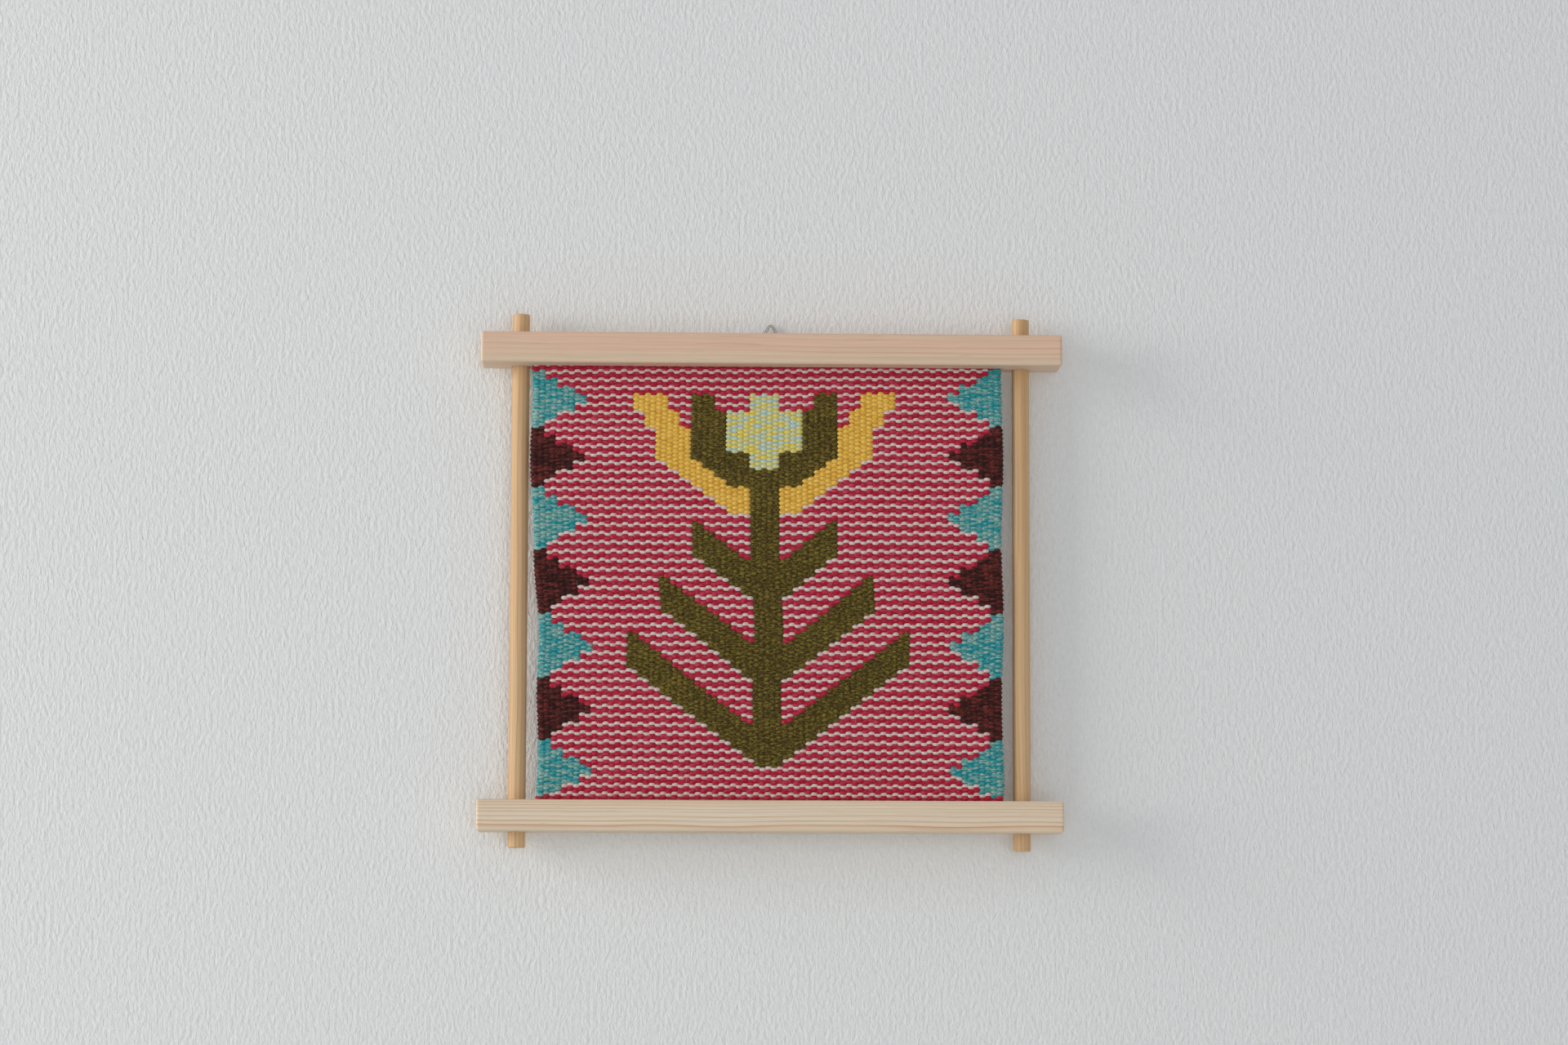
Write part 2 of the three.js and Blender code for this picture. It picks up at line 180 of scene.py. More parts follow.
def wood(name, early, late, stain, grain, ring_gap, ring_depth, pith, seed, roughness,
         middle=(0, 0, 0), blush=(0, 0, 0), tightening=0.0):
    """Softwood cut along the grain axis. Yearly rings lie round the tree's pith, so that they show
    as lines along a face and as arcs on an end; pith is the way from there to the origin. From
    the board's middle, the stain grows along blush, and the rings get closer upward by the
    tightening."""
    made, link, shader = material(name, Specular_IOR_Level=0.35)
    place = object_place(link)
    along = {"X": Vector((1, 0, 0)), "Z": Vector((0, 0, 1))}[grain]
    across = Vector((1, 1, 1)) - along

    def streaks(fine, long, **sockets):
        """Noise with this many features to the metre across the grain and along it."""
        stretched = link.node("ShaderNodeMapping", {}, {
            "Vector": place,
            "Location": (seed, seed, seed),
            "Scale": across * fine + along * long,
        })
        return patches(stretched, **sockets)

    # Yearly rings of uneven width, which waver slowly along the grain
    waver = streaks(16, 5, Detail=2.0).about_zero(RINGS_WAVER)
    uneven = streaks(260, 0.7).about_zero(ring_gap * RINGS_UNEVEN)
    off_middle = link.node("ShaderNodeVectorMath", {"operation": "SUBTRACT"}, {0: place, 1: middle})
    rise = link.node("ShaderNodeSeparateXYZ", {}, {0: off_middle}, output=2)
    shift = waver + uneven + rise * rise * tightening
    centred = link.node("ShaderNodeMapping", {}, {"Vector": place, "Location": pith})
    moved = link.node("ShaderNodeVectorMath", {"operation": "ADD"}, {
        0: centred, 1: link.node("ShaderNodeCombineXYZ", {}, {0: shift, 1: shift, 2: shift})})
    rings = link.node(
        "ShaderNodeTexWave",
        {"wave_type": "RINGS", "rings_direction": grain, "wave_profile": "SAW"},
        {"Vector": moved, "Scale": RING_WAVE / ring_gap})
    line = link.node("ShaderNodeValToRGB", {"stops": LATE_WOOD}, {0: rings})
    fading = streaks(90, 2, Detail=2.0) * RINGS_FADING - 0.5
    late_wood = (line * fading).clamped() * ring_depth

    # A blush of warmer wood in long bands, fibres, and short dark pores
    warmer = link.node("ShaderNodeVectorMath", {"operation": "DOT_PRODUCT"}, {
        0: off_middle, 1: blush}, output=1)
    band = (streaks(150, 2.5, Detail=3.0).about_zero(BAND_CONTRAST) + 0.5 + warmer).clamped()
    fibre = streaks(2400, 24, Detail=4.0, Roughness=0.65)
    dots = (streaks(1500, 60, Detail=1.0) - PORE_RARITY) * PORE_CONTRAST
    pores = dots.clamped() * PORE_SHADE
    ringed = late_wood.mix(band.mix(early, stain), late)
    shade = link.node("ShaderNodeMix", {"data_type": "RGBA", "blend_type": "MULTIPLY"}, {
        0: 1.0, 6: ringed, 7: fibre * FIBRE_SHADE + (1 - FIBRE_SHADE / 2)}, output=2)
    feed(pores.mix(shade, late), shader, "Base Color")
    feed(fibre * FIBRE_GLOSS + (roughness - FIBRE_GLOSS / 2), shader, "Roughness")
    feed_bump(fibre * FIBRE_RELIEF + late_wood * (1 - FIBRE_RELIEF), shader, RELIEF)
    return made


def dress(node, made):
    """Gives a CAD node its material."""
    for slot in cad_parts[node].material_slots:
        slot.material = made


def middle_of(node):
    """The middle of a CAD node's box."""
    low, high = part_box(node)
    return (low + high) / 2


top_rail_wood = wood(
    "top rail pine", early=colour(224, 199, 171), late=colour(196, 142, 108),
    stain=colour(229, 192, 165), grain="X", ring_gap=0.0034, ring_depth=0.40,
    pith=(0, 0.06, 0.075), seed=3.0, roughness=0.55,
    middle=middle_of("top_rail_front"), blush=(1.4, 0, 64))
bottom_rail_wood = wood(
    "bottom rail pine", early=colour(232, 216, 192), late=colour(198, 138, 88),
    stain=colour(229, 206, 178), grain="X", ring_gap=0.0023, ring_depth=0.75,
    pith=(0, 0.03, 0.4012), seed=11.0, roughness=0.55,
    middle=middle_of("bottom_rail_front"), tightening=34.0)

for rail, made in (("top_rail", top_rail_wood), ("bottom_rail", bottom_rail_wood)):
    dress(f"{rail}_front", made)
    dress(f"{rail}_back", made)


# ---- The dowels ----
# Two ready-made 10 mm dowels, pushed through the back strips. They are sanded round, a little
# darker than the rails, and their sawn ends are eased by hand.

DOWEL_SIDES = 64
END_EASING = 0.0008
EASING_STEPS = 4
CRISP_ANGLE = math.radians(40)  # smooth shading stops at an edge that turns more than this
LEVEL = 1e-6  # an edge that rises less than this lies flat

dowel_wood = wood(
    "dowel pine", early=colour(220, 186, 142), late=colour(178, 132, 88),
    stain=colour(208, 168, 122), grain="Z", ring_gap=0.0022, ring_depth=0.6,
    pith=(0, 0.012, 0), seed=23.0, roughness=0.5)


def finished(name, shape, made, smooth=True):
    """Turns a bmesh into a piece in place, with one material."""
    mesh = bpy.data.meshes.new(name)
    shape.to_mesh(mesh)
    shape.free()
    piece = bpy.data.objects.new(name, mesh)
    bpy.context.scene.collection.objects.link(piece)
    mesh.materials.append(made)
    for face in mesh.polygons:
        face.use_smooth = smooth
    return piece


def dowel(name, node, body):
    """Turns a dowel of its CAD node's size, with eased ends, which rides its own body."""
    low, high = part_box(node)
    radius = (high.x - low.x) / 2
    shape = bmesh.new()
    bmesh.ops.create_cone(
        shape, cap_ends=True, segments=DOWEL_SIDES, radius1=radius, radius2=radius,
        depth=high.z - low.z)
    rims = [edge for edge in shape.edges if abs(edge.verts[0].co.z - edge.verts[1].co.z) < LEVEL]
    bmesh.ops.bevel(
        shape, geom=rims, offset=END_EASING, segments=EASING_STEPS, profile=0.5, affect="EDGES",
        material=-1)
    bmesh.ops.translate(shape, verts=shape.verts, vec=middle_of(node))
    piece = finished(name, shape, dowel_wood)
    piece.data.set_sharp_from_angle(angle=CRISP_ANGLE)
    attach(piece, body)
    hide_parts(node)


dowel("left_rod_turned", "left_dowel", "left_rod")
dowel("right_rod_turned", "right_dowel", "right_rod")


# ---- The warp ----
# Eighty linen warp threads, 3 to the centimetre. They run from hem to hem inside the weaving
# and show only where a weft has not packed down; the rails grip their ends.

WARPS = 80
WARP_RIB = 0.00003
WARP_HALF_THICKNESS = 0.00005
WARP_INSET = 0.6  # the wefts' turns stand this many warps past the outer warp threads
WARP_ROWS = 48

cloth_low, cloth_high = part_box("tapestry")
CLOTH_Y = (cloth_low.y + cloth_high.y) / 2
SHOWS_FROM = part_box("top_rail_front")[0].z
SHOWS_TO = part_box("bottom_rail_front")[1].z
DRAWN_IN_FROM = 0.25  # the left selvage draws in between these two shares of the height,
DRAWN_IN_TO = 0.65
SLACK_SELVAGE = 0.0020  # from this far outside the cloth's width
TIGHT_SELVAGE = 0.0029  # to this far inside it
SELVAGE_WAVER = 0.0006
LEFT_WAVES = 23  # in radians down the showing cloth
RIGHT_WAVES = 17


def down(z):
    """How far down the showing cloth z is, from 0 at the top rail to 1 at the bottom one."""
    return (SHOWS_FROM - z) / (SHOWS_FROM - SHOWS_TO)


def left_edge(z):
    """The x of the left selvage at a height. It eases in from slack to tight."""
    share = min(max((down(z) - DRAWN_IN_FROM) / (DRAWN_IN_TO - DRAWN_IN_FROM), 0), 1)
    eased = share * share * (3 - 2 * share)
    return cloth_low.x - SLACK_SELVAGE + (SLACK_SELVAGE + TIGHT_SELVAGE) * eased + (
        SELVAGE_WAVER * math.sin(LEFT_WAVES * down(z)))


def right_edge(z):
    return cloth_high.x - SELVAGE_WAVER * (1 + math.sin(RIGHT_WAVES * down(z) + 1))


def across_cloth(warp, z):
    """The x of a place counted in warps from the left selvage, at a height."""
    return left_edge(z) + (right_edge(z) - left_edge(z)) * warp / WARPS


def scaled(place, factors):
    """A place multiplied along X, Y and Z."""
    return place.node("ShaderNodeMapping", {}, {"Vector": place, "Scale": factors})


linen, link, shader = material("warp linen", Roughness=0.9, Sheen_Weight=0.2)
slub = patches(scaled(object_place(link), (900, 900, 120)), Detail=3.0)
feed(slub.mix(colour(190, 172, 156), colour(226, 214, 200)), shader, "Base Color")
feed_bump(slub, shader, depth=0.0002)

shape = bmesh.new()
bmesh.ops.create_grid(shape, x_segments=2 * WARPS, y_segments=WARP_ROWS, size=0.5)
for vert in shape.verts:
    z = cloth_low.z + (vert.co.y + 0.5) * (cloth_high.z - cloth_low.z)
    warp = WARP_INSET + (vert.co.x + 0.5) * (WARPS - 2 * WARP_INSET)
    rib = WARP_RIB * math.cos(2 * math.pi * (warp - 0.5))
    vert.co = Vector((across_cloth(warp, z), CLOTH_Y - WARP_HALF_THICKNESS - rib, z))
bmesh.ops.recalc_face_normals(shape, faces=shape.faces)
bmesh.ops.solidify(shape, geom=shape.faces, thickness=2 * WARP_HALF_THICKNESS)
warp_cloth = finished("warp_threads", shape, linen)
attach(warp_cloth, "frame")
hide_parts("tapestry")


# ---- The weaving's pattern ----
# Two picks of off-white and two of crimson make one stripe of the ground, and every step of the
# pattern is one stripe tall: seven stepped triangles down each selvage, and a flower on a stem.

PICKS = 197  # weft passes that show between the rails
STRIPE = ("white", "white", "crimson", "crimson")  # the ground's picks, from the top down
BEFORE_STRIPES = 1  # one crimson pick shows above the first whole stripe,
AFTER_STRIPES = 2  # and two below the borders
TRIANGLES = 7
TRIANGLE_WIDTHS = (2, 4, 7, 9, 7, 4, 2)  # in warps, a stripe each, from a triangle's top down

# The flower is measured across in warps from its middle line, and down in stripes from the top.
FLOWER_MIDDLE = 39.5
STEP_WARPS = 2  # how far in or out each of its steps goes
STEM_HALF = 2.5
HEART_HALF = 6.5
CUP_HALF = 12.5
PETAL_HALF = 22.5
PETAL_WIDTH = 6
PETAL_STEPS = (5, 7)  # the stripes where a petal steps in, before it narrows with the cup
FLOWER_TOP = 3
HEART_TOP = 5
HEART_FOOT = 10
STUB_FOOT = 12
CUP_NARROWS = 11
CUP_FOOT = 14
PETAL_FOOT = 17
STEM_FOOT = 45
LEAF_PAIRS = 3
LEAF_REACH = 12.5  # the upper pair's, in warps; each next pair
LEAF_GROWTH = 6  # reaches this much further
FIRST_LEAF = 18
LEAF_SPACING = 6
LEAF_HEIGHT = 4


def border_yarn(warp, stripe):
    """The border's yarn at a place, or None in the ground."""
    triangle, step = divmod(stripe, len(TRIANGLE_WIDTHS))
    if 0 <= triangle < TRIANGLES and min(warp, WARPS - 1 - warp) < TRIANGLE_WIDTHS[step]:
        return "brown" if triangle % 2 else "teal"
    return None


def flower_yarn(off, stripe):
    """The flower's yarn at off warps from its middle line, or None outside it."""
    if not FLOWER_TOP <= stripe < PETAL_FOOT:
        return None
    arms = stripe < HEART_TOP
    heart = HEART_HALF if HEART_TOP <= stripe < HEART_FOOT else STEM_HALF
    if off < heart and stripe < STUB_FOOT:
        return "straw"
    narrowed = STEP_WARPS * max(0, stripe - CUP_NARROWS + 1)
    between_arms = arms and off < HEART_HALF + STEP_WARPS
    if off < CUP_HALF - narrowed and stripe < CUP_FOOT and not between_arms:
        return "olive"
    steps_in = sum(stripe >= step for step in PETAL_STEPS)
    outer = PETAL_HALF - STEP_WARPS * steps_in - narrowed
    inner = outer - PETAL_WIDTH if stripe < PETAL_STEPS[-1] else STEM_HALF
    return "yellow" if inner < off < outer and off > STEM_HALF else None


def leaf_yarn(off, stripe):
    """The stem, and leaves that each slant down to it by a step a stripe."""
    if off < STEM_HALF and CUP_FOOT <= stripe < STEM_FOOT:
        return "olive"
    for pair in range(LEAF_PAIRS):
        step = (LEAF_REACH + LEAF_GROWTH * pair - off) // STEP_WARPS
        top = FIRST_LEAF + LEAF_SPACING * pair + step
        if step >= 0 and off > STEM_HALF and top <= stripe < top + LEAF_HEIGHT:
            return "olive"
    return None


def yarn_at(warp, pick):
    """The yarn that a pick shows at a warp."""
    stripe, part = divmod(pick - BEFORE_STRIPES, len(STRIPE))
    if pick >= PICKS - AFTER_STRIPES:
        return STRIPE[part]
    off = abs(warp + 0.5 - FLOWER_MIDDLE)
    flower = leaf_yarn(off, stripe) or flower_yarn(off, stripe)
    return border_yarn(warp, stripe) or flower or STRIPE[part]


# ---- The wefts ----
# Softly spun wool, beaten down so tightly that it hides the warp. Each weft passes over one warp
# and under the next, and turns back at the edge of its patch. The crimson is the thicker yarn.

PICK = (SHOWS_FROM - SHOWS_TO) / PICKS
STEPS_PER_WARP = 4
YARN_SIDES = 6
YARN_RADIUS = 1.12 * PICK  # half the height of a pick where it passes over a warp
YARN_NECK = 0.7  # its size where it dives between two warps, as a share of that,
NECK_CURVE = 0.8  # and how suddenly it gets there; 1 is like a cosine
YARN_FLATTENED = 0.56  # its depth, as a share of its height
WEAVE_DEPTH = 0.00062  # how far it swings to the front and to the back of the warp
YARN_SIZE = {"crimson": 1.15, "white": 0.88}
YARNS_APART = 0.16  # how far the crimson yarn pushes the white ones together, in picks,
PUSHED = (1, -1, -1, 1)  # and which way each pick of a stripe goes for it; 1 is down
UNEVENNESS = 0.1  # of the spinning, as a share of the yarn's size,
UNEVEN_WAVES = (0.9, 3.1)  # to the warp and to the pick
TUCK_REACH = 0.4  # how many warps a run takes to come out from its tucked end,
TUCK_START = 0.12  # and how many it lies short of being hidden there
TUCKED_SIZE = 0.6
TURN_STEPS = 4
TURN_REACH = 0.0008
HAIRS_PER_WARP = 0.32
HAIR_STEPS = 3
HAIR_ROOT = 0.0011
HAIR_RADIUS = 0.000032
HAIR_REACH = (0.0012, 0.0034)
HAIR_LIFT = (0.0003, 0.0011)
HAIR_STRAY = 0.7  # how far a hair's heading strays from its yarn's, in radians,
HAIR_BEND = 0.9  # and how far it bends at most
HAIR_ARCH = 0.75  # how much of a whole arch it makes, so that its tip comes back down
HAIR_HASTE = 1.25  # and how much faster than along the hair; the rest is straight
chance = random.Random(7)
HIDDEN_PICKS = 4  # how many picks run on inside each rail
BEATEN_UP = 0.0075  # how much tighter the picks lie near the rails, as shares of the height,
BEATEN_ABOVE = 0.006  # and how much tighter above the middle than below it
SKEW = 0.0026  # how much further up the picks start on the right, at the top
SKEW_ENDS = 0.85
DRIFT = 0.0005  # how far a pick wanders up and down in long waves,
DRIFT_WAVES = (0.045, 22)  # to the warp and to the metre,
JITTER = 0.00012  # and in short ones,
JITTER_WAVES = (0.4, 0.9)  # to the warp and to the pick
JITTER_PLACE = 5.0  # away from the place in the noise that the long waves come from


def pick_height(pick, warp, yarn):
    """The z of a pick at a warp. Hand beating leaves each one a little uneven."""
    share = pick / PICKS
    slack = BEATEN_UP * math.sin(2 * math.pi * share) + BEATEN_ABOVE * math.sin(math.pi * share)
    part = (pick - BEFORE_STRIPES) % len(STRIPE)
    apart = YARNS_APART * PUSHED[part] if yarn in YARN_SIZE else 0
    level = SHOWS_FROM - (share - slack) * (SHOWS_FROM - SHOWS_TO) - (0.5 + apart) * PICK
    skewed = SKEW * (warp / WARPS - 0.5) * max(0, 1 - share / SKEW_ENDS)
    drift = DRIFT * noise.noise(
        Vector((warp * DRIFT_WAVES[0], 0.0, level * DRIFT_WAVES[1])))
    jitter = JITTER * noise.noise(
        Vector((warp * JITTER_WAVES[0], JITTER_PLACE, pick * JITTER_WAVES[1])))
    return level + skewed + drift + jitter


def lay_yarn(points, pick, yarn, start, end):
    """Sets a spline's points for a run of a pick from one place to another, counted in warps."""
    for number, point in enumerate(points):
        warp = start + (end - start) * number / (len(points) - 1)
        swing = math.cos(math.pi * (warp - 0.5 - pick % 2))
        from_end = min(warp - start, end - warp)
        tuck = min(1.0, (from_end + TUCK_START) / TUCK_REACH)
        uneven = 1 + UNEVENNESS * noise.noise(
            Vector((warp * UNEVEN_WAVES[0], pick * UNEVEN_WAVES[1], 0)))
        size = (YARN_NECK + (1 - YARN_NECK) * abs(swing) ** NECK_CURVE) * uneven
        z = pick_height(pick, warp, yarn)
        point.co = (across_cloth(warp, z), -swing * WEAVE_DEPTH * tuck / YARN_FLATTENED, z, 1)
        tucked_in = TUCKED_SIZE + (1 - TUCKED_SIZE) * tuck
        point.radius = size * tucked_in * YARN_SIZE.get(yarn, 1)


def lay_turn(curve, pick, yarn, warp):
    """Turns a weft round the outer warp, from a pick to the next, beside a selvage."""
    outward = -1 if warp == 0 else 1
    spline = curve.splines.new("POLY")
    spline.points.add(TURN_STEPS)
    from_z = pick_height(pick, warp, yarn)
    to_z = pick_height(pick + 1, warp, yarn)
    for number, point in enumerate(spline.points):
        angle = math.pi * number / TURN_STEPS
        z = (from_z + to_z) / 2 + (from_z - to_z) / 2 * math.cos(angle)
        out = outward * TURN_REACH * math.sin(angle) - outward * TURN_REACH / 2
        point.co = (across_cloth(warp, z) + out, 0, z, 1)
        point.radius = YARN_NECK * YARN_SIZE.get(yarn, 1)


def lay_hair(curve, pick, yarn, start, end):
    """Lets one loose fibre stand out of a run, in a low arch on the front or the back."""
    spline = curve.splines.new("POLY")
    spline.points.add(HAIR_STEPS)
    side = chance.choice((-1, 1))
    warp = chance.uniform(start, end)
    heading = chance.gauss(0, HAIR_STRAY) + chance.choice((0, math.pi))
    reach = chance.uniform(*HAIR_REACH)
    lift = chance.uniform(*HAIR_LIFT)
    bend = chance.uniform(-HAIR_BEND, HAIR_BEND)
    z = pick_height(pick, warp, yarn)
    root = Vector((across_cloth(warp, z), side * HAIR_ROOT, z))
    for number, point in enumerate(spline.points):
        share = number / HAIR_STEPS
        turned = heading + bend * share
        away = Vector((math.cos(turned), 0, math.sin(turned))) * reach * share
        arch = HAIR_ARCH * min(1, share * HAIR_HASTE)
        rise = side * lift * math.sin(math.pi * arch)
        place = root + away
        point.co = (place.x, (place.y + rise) / YARN_FLATTENED, place.z, 1)
        point.radius = HAIR_RADIUS / YARN_RADIUS


def runs_of(pick):
    """The runs of one yarn in a pick, as [yarn, first warp, end warp]."""
    runs = []
    for warp in range(WARPS):
        yarn = yarn_at(warp, pick)
        if runs and runs[-1][0] == yarn:
            runs[-1][2] = warp + 1
        else:
            runs.append([yarn, warp, warp + 1])
    return runs


def cord_curve(name, radius, sides):
    """An empty curve that is swept into a cord with this many sides and flat ends."""
    curve = bpy.data.curves.new(name, "CURVE")
    curve.dimensions = "3D"
    curve.twist_mode = "Z_UP"
    curve.bevel_depth = radius
    curve.bevel_resolution = sides // 2 - 2  # which gives that many sides
    curve.use_fill_caps = True
    return curve


def swept(curve, made):
    """The mesh of a cord curve, in one material."""
    cord = bpy.data.objects.new("cord", curve)
    bpy.context.scene.collection.objects.link(cord)
    bpy.context.view_layer.update()
    mesh = bpy.data.meshes.new_from_object(
        cord.evaluated_get(bpy.context.evaluated_depsgraph_get()))
    bpy.data.objects.remove(cord)
    mesh.materials.clear()
    mesh.materials.append(made)
    mesh.shade_smooth()
    return mesh


def weave(first_pick, end_pick):
    """Lays the picks as curves, one curve for each yarn, with the list of each spline's pick."""
    curves = {}
    for pick in range(first_pick, end_pick):
        for yarn, start, end in runs_of(pick):
            if yarn not in curves:
                curves[yarn] = (cord_curve(yarn, YARN_RADIUS, YARN_SIDES), [])
            curve, laid = curves[yarn]
            spline = curve.splines.new("POLY")
            spline.points.add((end - start) * STEPS_PER_WARP)
            lay_yarn(spline.points, pick, yarn, start, end)
            laid.append(pick - first_pick)
            warp = start if pick % 2 else end
            if warp in (0, WARPS) and yarn_at(min(warp, WARPS - 1), pick + 1) == yarn:
                lay_turn(curve, pick, yarn, warp)
                laid.append(pick - first_pick)
            if 0 < pick < PICKS - 1:  # its loose fibres stay clear of the rails
                for _ in range(round((end - start) * HAIRS_PER_WARP + chance.random() - 0.5)):
                    lay_hair(curve, pick, yarn, start, end)
                    laid.append(pick - first_pick)
    return curves


MAP_EDGE = 0.01  # the UV map's clear edge, left and right,
ROW_EDGE = 0.1  # and the clear share of each row, above and below its yarns
ROWS_HEIGHT = 0.97  # how much of the map's height the rows take
CAPS_HEIGHT = 0.985  # where the middles of the end caps lie, above the rows
CAP_SIZE = 0.01


def map_yarns(mesh, curve, laid, rows):
    """Unrolls the yarns into one row of the UV map for each pick, with the end caps above them.
    A swept mesh has the faces of its caps first, and then the sides of one yarn after another."""
    layer = mesh.uv_layers.new(name="OFBake")
    width = cloth_high.x - cloth_low.x + 2 * SLACK_SELVAGE
    left = cloth_low.x - SLACK_SELVAGE
    sides = []
    for spline, row in zip(curve.splines, laid):
        sides += [row] * (YARN_SIDES * (len(spline.points) - 1))
    caps = len(mesh.polygons) - len(sides)
    for face in mesh.polygons:
        side = face.index - caps
        for number, corner in enumerate(face.loop_indices):
            place = mesh.vertices[mesh.loops[corner].vertex_index].co
            u = MAP_EDGE + (1 - 2 * MAP_EDGE) * (place.x - left) / width
            if side < 0:
                u += CAP_SIZE * place.y / YARN_RADIUS
                v = CAPS_HEIGHT + CAP_SIZE * (place.z - face.center.z) / YARN_RADIUS
            else:
                turned = (side % YARN_SIDES + (1 if number < 2 else 0)) / YARN_SIDES
                in_row = ROW_EDGE + (1 - 2 * ROW_EDGE) * turned
                v = ROWS_HEIGHT * (sides[side] + in_row) / rows
            layer.data[corner].uv = (u, v)


FLECK_CONTRAST = 6.0
BATCH_CONTRAST = 0.8  # how much the share of flecks differs from one length of yarn to the next
SHADOW_CONTRAST = 4.5
SHADOW_FROM = 0.52  # the fibres lower than this are in the shadow of the others,
SHADOW_SHARE = 0.7  # which is this deep
PLY_SHARE = 0.35  # how much of the yarn's relief is the twist of its plies, and not its fibres
PLY_TWIST = 260.0
WOOL_RELIEF = 0.00022


def wool(name, main, fleck, shadow, fleck_share, fleck_length=0.0034, fleck_width=0.0012):
    """Two-ply wool yarn that runs along X: flecks of a second shade, and a fibrous twisted face."""
    made, link, shader = material(
        name, Roughness=0.92, Sheen_Weight=0.08, Sheen_Roughness=0.6, Specular_IOR_Level=0.15)
    place = object_place(link)

    def stretched(along, across):
        """The place, for a pattern with this many features to the metre."""
        return scaled(place, (along, across, across))

    flecks = patches(stretched(1 / fleck_length, 1 / fleck_width), Detail=3.0)
    fibre = patches(stretched(1500, 5200), Detail=3.0, Roughness=0.7)
    batch = patches(stretched(30, 90))
    twist = link.node(
        "ShaderNodeTexWave", {"wave_type": "BANDS", "bands_direction": "DIAGONAL"},
        {"Vector": stretched(1, 1), "Scale": PLY_TWIST, "Distortion": 2.5, "Detail": 2.0,
         "Detail Scale": 3.0})
    spread = flecks.about_zero(FLECK_CONTRAST) + fleck_share + batch.about_zero(BATCH_CONTRAST)
    mottled = spread.clamped().mix(main, fleck)
    shaded = ((SHADOW_FROM - fibre) * SHADOW_CONTRAST).clamped() * SHADOW_SHARE
    feed(shaded.mix(mottled, shadow), shader, "Base Color")
    feed_bump(fibre * (1 - PLY_SHARE) + twist * PLY_SHARE, shader, WOOL_RELIEF)
    return made


YARNS = {
    "crimson": wool(
        "crimson wool", main=colour(184, 24, 54), fleck=colour(208, 66, 92),
        shadow=colour(110, 12, 32), fleck_share=0.3),
    "white": wool(
        "white wool", main=colour(232, 215, 207), fleck=colour(226, 190, 186),
        shadow=colour(172, 146, 140), fleck_share=0.3),
    "teal": wool(
        "teal wool", main=colour(30, 156, 164), fleck=colour(160, 194, 182),
        shadow=colour(14, 92, 100), fleck_share=0.42, fleck_length=0.005),
    "brown": wool(
        "brown wool", main=colour(54, 20, 17), fleck=colour(122, 48, 42),
        shadow=colour(26, 10, 9), fleck_share=0.28, fleck_length=0.006),
    "yellow": wool(
        "yellow wool", main=colour(250, 208, 96), fleck=colour(232, 178, 68),
        shadow=colour(184, 128, 48), fleck_share=0.35),
    "olive": wool(
        "olive wool", main=colour(74, 60, 18), fleck=colour(132, 114, 42),
        shadow=colour(34, 26, 7), fleck_share=0.40, fleck_length=0.0022, fleck_width=0.0009),
    "straw": wool(
        "straw and mint wool", main=colour(238, 216, 98), fleck=colour(188, 216, 212),
        shadow=colour(160, 158, 104), fleck_share=0.5, fleck_length=0.007, fleck_width=0.0016),
}

# The wefts are laid in two halves, so that no piece of one yarn has too many faces.
half_way = PICKS // 2
for part, first_pick, end_pick in (
        ("upper", -HIDDEN_PICKS, half_way), ("lower", half_way, PICKS + HIDDEN_PICKS)):
    for yarn, (curve, laid) in weave(first_pick, end_pick).items():
        mesh = swept(curve, YARNS[yarn])
        for layer in list(mesh.uv_layers):
            mesh.uv_layers.remove(layer)
        map_yarns(mesh, curve, laid, end_pick - first_pick)
        mesh.transform(
            Matrix.Translation((0, CLOTH_Y, 0)) @ Matrix.Scale(YARN_FLATTENED, 4, (0, 1, 0)))
        piece = bpy.data.objects.new(f"{yarn}_weft_{part}", mesh)
        bpy.context.scene.collection.objects.link(piece)
        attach(piece, "frame")


# ---- The hanger ----
# A triangle of bright steel wire in a folded strap, on the back of the top rail. The strap is
# held by one round-head screw; the ring's two ends meet inside the fold.

BEND_RADIUS = 0.0015  # of the ring's three bends, along the middle of the wire
BEND_STEPS = 10
BEND_ANGLE = 120  # how far the wire turns in each bend, in degrees
ENDS_GAP = 0.0003
WIRE_SIDES = 16
WIRE_ROUGHNESS = 0.05  # where it is smoothest,
DRAW_MARKS = 0.12  # and how much the marks of drawing it add

bright_wire, link, shader = material("bright wire", Metallic=1.0)
drawn = patches(object_place(link), Scale=900.0, Detail=3.0)
feed(drawn.mix(colour(160, 156, 149), colour(212, 210, 206)), shader, "Base Color")
feed(drawn * DRAW_MARKS + WIRE_ROUGHNESS, shader, "Roughness")
feed_bump(drawn, shader, depth=0.00001)

low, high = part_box("hanger_ring")
wire_radius = (high.y - low.y) / 2
foot_z = low.z + wire_radius + BEND_RADIUS
head_z = high.z - wire_radius - BEND_RADIUS
corner_x = high.x - wire_radius - BEND_RADIUS
wire_path = [(-ENDS_GAP / 2, low.z + wire_radius)]
for x, z, first_angle in ((-corner_x, foot_z, 270), (0, head_z, 150), (corner_x, foot_z, 30)):
    for step in range(BEND_STEPS + 1):
        angle = math.radians(first_angle - BEND_ANGLE * step / BEND_STEPS)
        wire_path.append((x + BEND_RADIUS * math.cos(angle), z + BEND_RADIUS * math.sin(angle)))
wire_path.append((ENDS_GAP / 2, low.z + wire_radius))

curve = cord_curve("ring_wire", wire_radius, WIRE_SIDES)
spline = curve.splines.new("POLY")
spline.points.add(len(wire_path) - 1)
for point, (x, z) in zip(spline.points, wire_path):
    point.co = (x, 0, z, 1)
ring = bpy.data.objects.new("ring_wire", swept(curve, bright_wire))
bpy.context.scene.collection.objects.link(ring)
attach(ring, "ring")
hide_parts("hanger_ring")


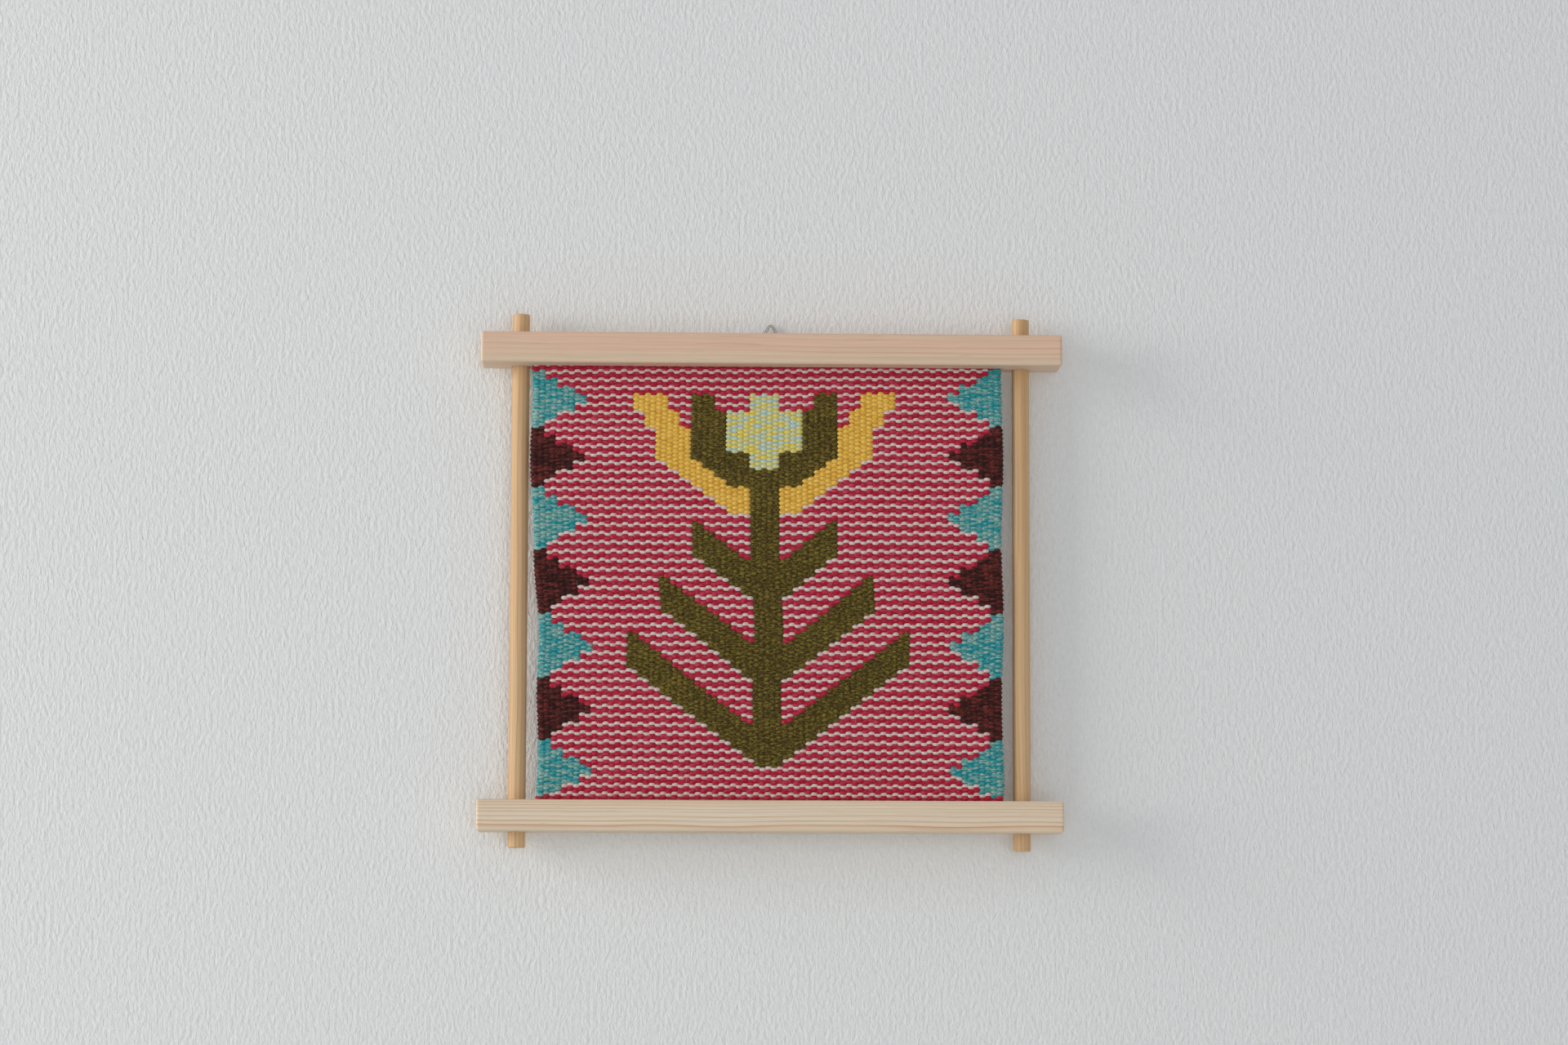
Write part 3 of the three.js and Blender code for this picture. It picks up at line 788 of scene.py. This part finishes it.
DULL_FROM = 0.45
DULL_CONTRAST = 4.0
DULL_ROUGHNESS = 0.15  # how much rougher a dull spot is,
ROLLED_ROUGHNESS = 0.2  # and a rolling mark


def plated(name, light, dark, roughness):
    """Plated steel with faint rolling marks and a few dull spots."""
    made, link, shader = material(name, Metallic=1.0)
    place = object_place(link)
    rolled = patches(scaled(place, (3000, 900, 300)), Detail=3.0)
    dull = patches(place, Scale=420.0, Detail=4.0)
    spots = ((dull - DULL_FROM) * DULL_CONTRAST).clamped()
    feed(spots.mix(light, dark), shader, "Base Color")
    rougher = rolled * ROLLED_ROUGHNESS + dull * DULL_ROUGHNESS
    feed(rougher + (roughness - DULL_ROUGHNESS), shader, "Roughness")
    feed_bump(rolled, shader, depth=0.00003)
    return made


strap_plate = plated("strap plate", colour(205, 203, 198), colour(176, 173, 166), 0.35)
screw_plate = plated("screw plate", colour(202, 198, 186), colour(172, 166, 150), 0.38)
dress("hanger_strap", strap_plate)
dress("hanger_screw", screw_plate)


# ---- The rail screws ----
# Four countersunk cross-head screws in each rail, from behind, draw the two strips together
# on the hem. They are zinc-plated, and sit flush with the wood.

SCREWS_PER_RAIL = 4

for rail in ("top_rail", "bottom_rail"):
    for number in range(1, SCREWS_PER_RAIL + 1):
        dress(f"{rail}_screw_{number}", screw_plate)


# ---- Wall, floor and light ----
# A pale wall stands just behind the hanging, and a pale floor below it. Both can be looked
# through from behind, so that the back of the hanging can be seen from any side.

WALL_Y = 0.0021
WALL_HALF = 0.62
FLOOR_Z = -0.72
FLOOR_HALF = 3.0
BACKDROP_RELIEF = 0.0013
# how strongly the wall and floor are painted greyer in the hollows of their relief, as painted
# shade
BACKDROP_PAINTED_SHADE = 0.5
WHITE = (1, 1, 1, 1)
SKY_TINT = (0.93, 0.96, 1.0, 1)
SKY_STRENGTH = 0.42
object_low, object_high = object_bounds()
middle = (object_low + object_high) / 2


def backdrop(name, tint, bumps):
    """A pale one-sided surface: solid from the front and clear from behind. Its bumps are
    counted to the metre along X, Y and Z."""
    made, link, shader = material(name, Roughness=0.9, Specular_IOR_Level=0.1)
    relief = patches(scaled(object_place(link), bumps), Detail=4.0, Roughness=0.6)
    # Painted shade: the paper is greyer in the hollows of its relief and whiter on its high points;
    # its own colour lies halfway between the tint and white.
    paper_tone_and_painted_shade = relief * BACKDROP_PAINTED_SHADE + BACKDROP_PAINTED_SHADE / 2
    feed(paper_tone_and_painted_shade.mix(tint, WHITE), shader, "Base Color")
    feed_bump(relief, shader, BACKDROP_RELIEF)
    seen_from_behind = link.node("ShaderNodeNewGeometry", {}, {}, output=6)
    solid = Link(link.tree, shader.outputs[0])
    clear = link.node("ShaderNodeBsdfTransparent", {}, {})
    both = link.node("ShaderNodeMixShader", {}, {0: seen_from_behind, 1: solid, 2: clear})
    link.tree.links.new(both.socket, link.tree.nodes["Material Output"].inputs["Surface"])
    return made


def set_backdrop(name, half, turn, place, made):
    """Sets up a square backdrop, turned about X and then moved to its place. It casts no shadow."""
    shape = bmesh.new()
    bmesh.ops.create_grid(shape, x_segments=1, y_segments=1, size=half)
    bmesh.ops.rotate(
        shape, verts=shape.verts, cent=(0, 0, 0), matrix=Matrix.Rotation(turn, 3, "X"))
    bmesh.ops.translate(shape, verts=shape.verts, vec=place)
    piece = finished(name, shape, made, smooth=False)
    piece.visible_shadow = False


set_backdrop(
    "wall", half=WALL_HALF, turn=math.pi / 2, place=(middle.x, WALL_Y, middle.z),
    made=backdrop("wall paper", tint=(0.71, 0.73, 0.715, 1), bumps=(480, 480, 230)))
set_backdrop(
    "floor", half=FLOOR_HALF, turn=0, place=(middle.x, 0, FLOOR_Z),
    made=backdrop("floor paint", tint=(0.42, 0.425, 0.42, 1), bumps=(40, 40, 40)))

bpy.context.scene.view_settings.view_transform = "Standard"
world = bpy.context.scene.world or bpy.data.worlds.new("studio")
bpy.context.scene.world = world
world.use_nodes = True
sky = world.node_tree.nodes["Background"]
sky.inputs["Color"].default_value = SKY_TINT
sky.inputs["Strength"].default_value = SKY_STRENGTH


def lamp(name, size, energy, place, tint=(1, 1, 1)):
    """A square lamp that faces the hanging's middle; its size is in metres, its energy in watts."""
    data = bpy.data.lights.new(name, "AREA")
    data.size = size
    data.energy = energy
    data.color = tint
    made = bpy.data.objects.new(name, data)
    made.location = place
    made.rotation_euler = (middle - Vector(place)).to_track_quat("-Z", "Y").to_euler()
    bpy.context.scene.collection.objects.link(made)


lamp("window", size=2.1, energy=92, place=(-3.6, -0.95, 0.5), tint=(1.0, 0.985, 0.96))
lamp("room", size=2.5, energy=20, place=(0.5, -3.2, -0.4))
lamp("behind", size=2.0, energy=20, place=(0.8, 2.6, 0.5))


# ---- Camera ----
# A long lens, set a little left of the hanging's middle and below its foot. It looks slightly
# up and to the right, and is held almost level.

LENS = 100  # in millimetres,
SENSOR = 36  # as is the width of the sensor
CAMERA_PLACE = Vector((-0.066, -2.473, -0.394))
LOOKS_RIGHT = math.radians(1.711)
LOOKS_UP = math.radians(6.48)
TILTED = math.radians(0.167)

data = bpy.data.cameras.new("camera")
data.lens = LENS
data.sensor_width = SENSOR
camera = bpy.data.objects.new("camera", data)
turned = (
    Matrix.Rotation(-LOOKS_RIGHT, 4, "Z")
    @ Matrix.Rotation(math.pi / 2 + LOOKS_UP, 4, "X")
    @ Matrix.Rotation(TILTED, 4, "Z"))
camera.matrix_world = Matrix.Translation(CAMERA_PLACE) @ turned
bpy.context.scene.collection.objects.link(camera)
bpy.context.scene.camera = camera
